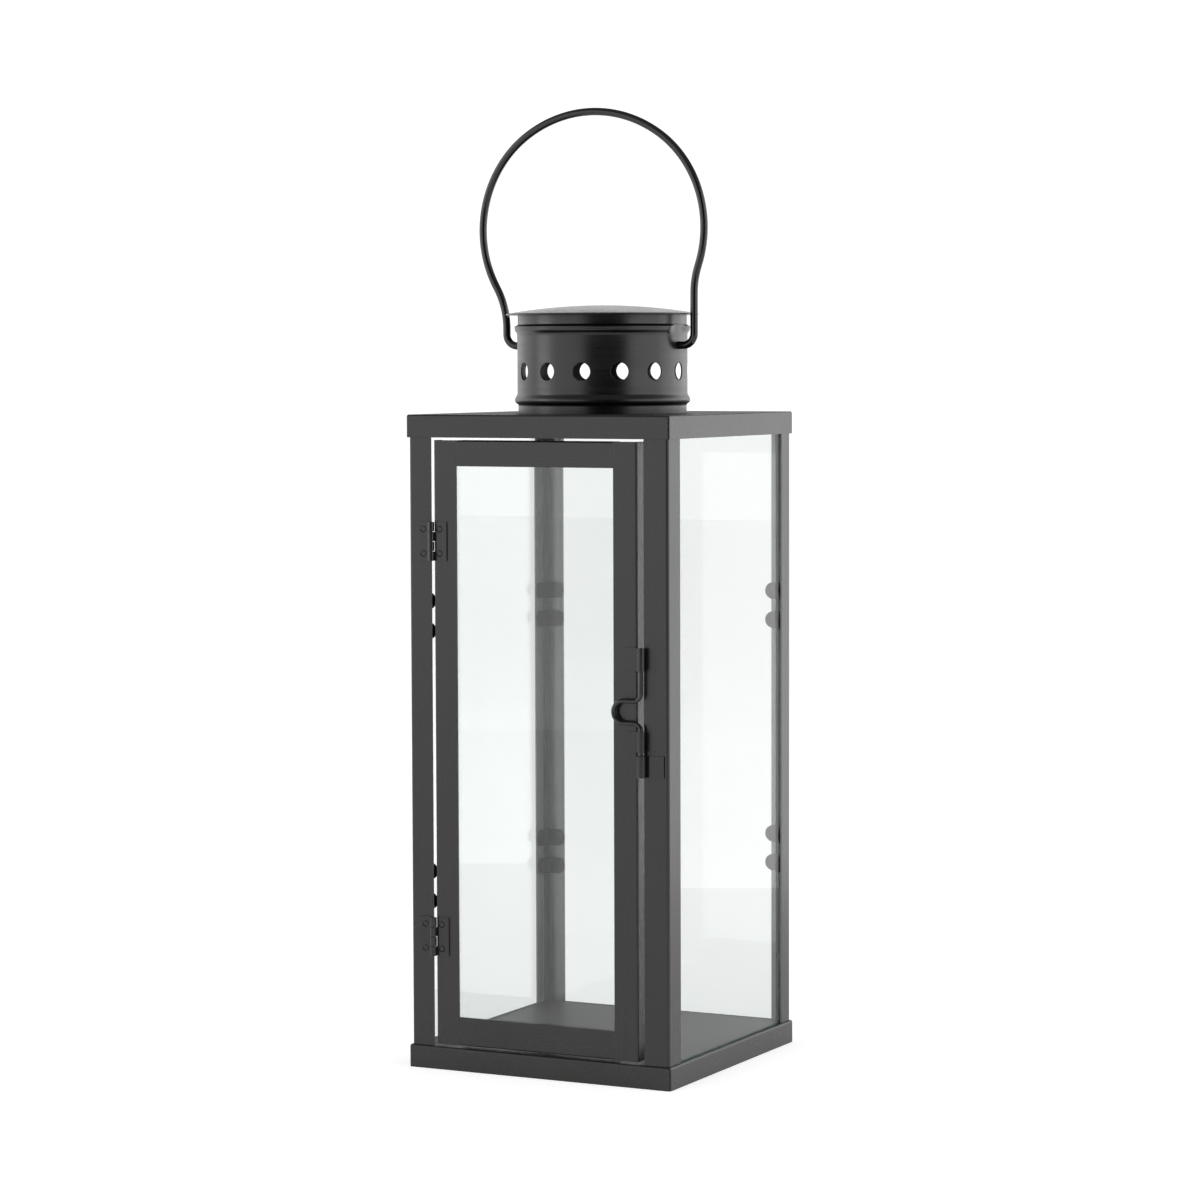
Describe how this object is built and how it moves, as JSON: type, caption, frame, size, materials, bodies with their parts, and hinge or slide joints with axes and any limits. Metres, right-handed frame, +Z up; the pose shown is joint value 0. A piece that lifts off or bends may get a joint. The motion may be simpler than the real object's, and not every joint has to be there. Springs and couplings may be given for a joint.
{
  "type": "candle lantern",
  "caption": "Square sheet-metal candle lantern with a framed, hinged glass door, sliding wire bolt, vented round chimney, domed lid and wire bail.",
  "frame": {"origin": "centre of the square foot, on the surface the lantern stands on", "axes": "+Z up, -Y the side with the door, +X the side on the right of someone facing the door"},
  "size_m": [0.158, 0.162, 0.5213],
  "materials": {
    "black_sheet": "satin black powder coat",
    "collar_paint": "semi-gloss black paint",
    "wire_paint": "gloss black paint",
    "clear_glass": "clear, polished",
    "fittings_paint": "satin black paint"
  },
  "bodies": {
    "frame": {"base_tray": "black_sheet", "roof_cap": "black_sheet", "post_front_left": "black_sheet", "post_front_right": "black_sheet", "post_back_right": "black_sheet", "post_back_left": "black_sheet", "chimney_collar": "collar_paint", "lid_dome": "collar_paint", "glass_left": "clear_glass", "glass_right": "clear_glass", "glass_back": "clear_glass", "glass_clips_front_left": "fittings_paint", "glass_clips_front_right": "fittings_paint", "glass_clips_back_right": "fittings_paint", "glass_clips_back_left": "fittings_paint", "hinge_upper_post_leaf": "fittings_paint", "hinge_upper_pin": "fittings_paint", "hinge_lower_post_leaf": "fittings_paint", "hinge_lower_pin": "fittings_paint", "hinge_rivets_post": "fittings_paint", "latch_keeper": "fittings_paint"},
    "door": {"door_stile_left": "black_sheet", "door_stile_right": "black_sheet", "door_rail_top": "black_sheet", "door_rail_bottom": "black_sheet", "door_glass": "clear_glass", "door_glass_tabs": "fittings_paint", "hinge_upper_door_leaf": "fittings_paint", "hinge_lower_door_leaf": "fittings_paint", "hinge_rivets_door": "fittings_paint", "latch_guide_upper": "fittings_paint", "latch_guide_lower": "fittings_paint"},
    "bolt": {"latch_bolt": "wire_paint"},
    "bail": {"bail_handle": "wire_paint"}
  },
  "joints": [
    {"name": "door_hinge", "type": "hinge", "parent": "frame", "child": "door", "pos_m": [-0.0633, -0.0796, 0], "axis": [0, 0, -1], "range_deg": [0, 175]},
    {"name": "bolt_slide", "type": "slide", "parent": "door", "child": "bolt", "axis": [0, 0, 1], "range_m": [0, 0.0115]},
    {"name": "bail_swing", "type": "hinge", "parent": "frame", "child": "bail", "pos_m": [0, 0, 0.3918], "axis": [1, 0, 0], "range_deg": [-113, 113]}
  ]
}
